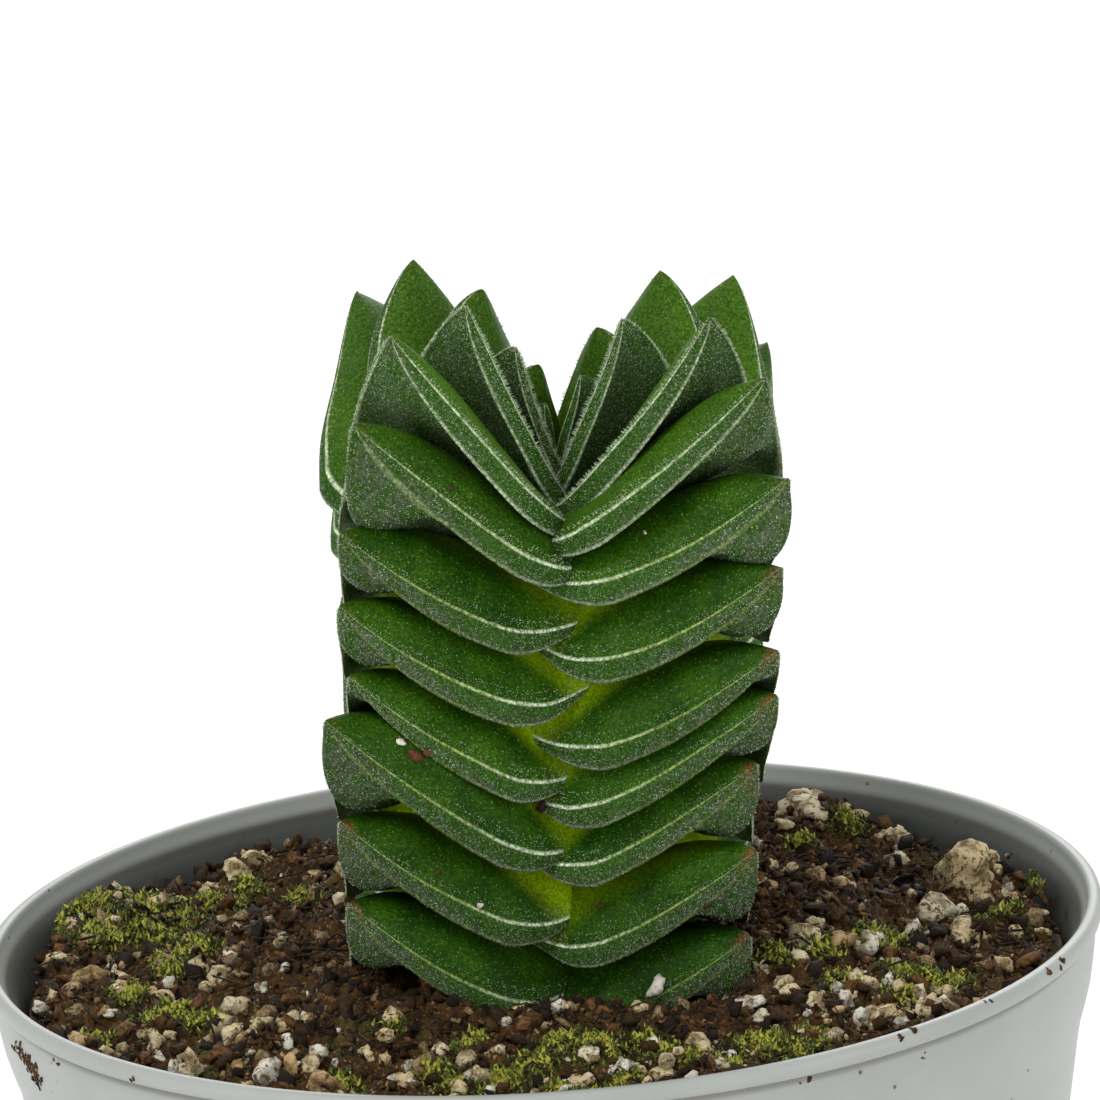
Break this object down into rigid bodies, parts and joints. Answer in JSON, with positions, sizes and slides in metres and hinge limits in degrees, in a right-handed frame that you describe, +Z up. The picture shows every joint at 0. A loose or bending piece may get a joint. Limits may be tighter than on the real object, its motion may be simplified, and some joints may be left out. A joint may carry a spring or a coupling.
{
  "type": "potted buddhas temple crassula",
  "caption": "Small succulent with thick, roof-shaped leaves stacked crosswise in a square column, rooted in soil in a round plastic nursery pot.",
  "frame": {"origin": "centre of the pot's flat underside, on the surface it stands on", "axes": "+Z up along the pot's axis; -Y towards the viewer of the picture, who looks at a face of the square column; +X to the viewer's right"},
  "size_m": [0.055, 0.055, 0.0797],
  "materials": {
    "pot": "smooth light grey moulded plastic",
    "soil": "dark peat potting soil with cream mineral grains and moss",
    "stem": "yellow-green fleshy stem and growing tip",
    "leaf": "dark green fleshy leaf, frosted with fine white papillae below"
  },
  "bodies": {
    "root": {"pot": "pot", "soil": "soil", "stem": "stem", "leaf_03_front": "leaf", "leaf_03_back": "leaf", "leaf_04_front": "leaf", "leaf_04_back": "leaf", "leaf_05_front": "leaf", "leaf_05_back": "leaf", "leaf_06_front": "leaf", "leaf_06_back": "leaf", "leaf_07_front": "leaf", "leaf_07_back": "leaf", "leaf_08_front": "leaf", "leaf_08_back": "leaf", "leaf_09_front": "leaf", "leaf_09_back": "leaf", "leaf_10_front": "leaf", "leaf_10_back": "leaf", "leaf_11_front": "leaf", "leaf_11_back": "leaf", "leaf_12_front": "leaf", "leaf_12_back": "leaf", "leaf_13_front": "leaf", "leaf_13_back": "leaf", "leaf_14_front": "leaf", "leaf_14_back": "leaf", "leaf_15_front": "leaf", "leaf_15_back": "leaf", "leaf_16_front": "leaf", "leaf_16_back": "leaf", "leaf_17_front": "leaf", "leaf_17_back": "leaf", "leaf_18_front": "leaf", "leaf_18_back": "leaf", "leaf_19_front": "leaf", "leaf_19_back": "leaf", "leaf_20_front": "leaf", "leaf_20_back": "leaf", "leaf_21_front": "leaf", "leaf_21_back": "leaf", "leaf_22_front": "leaf", "leaf_22_back": "leaf"}
  },
  "joints": []
}
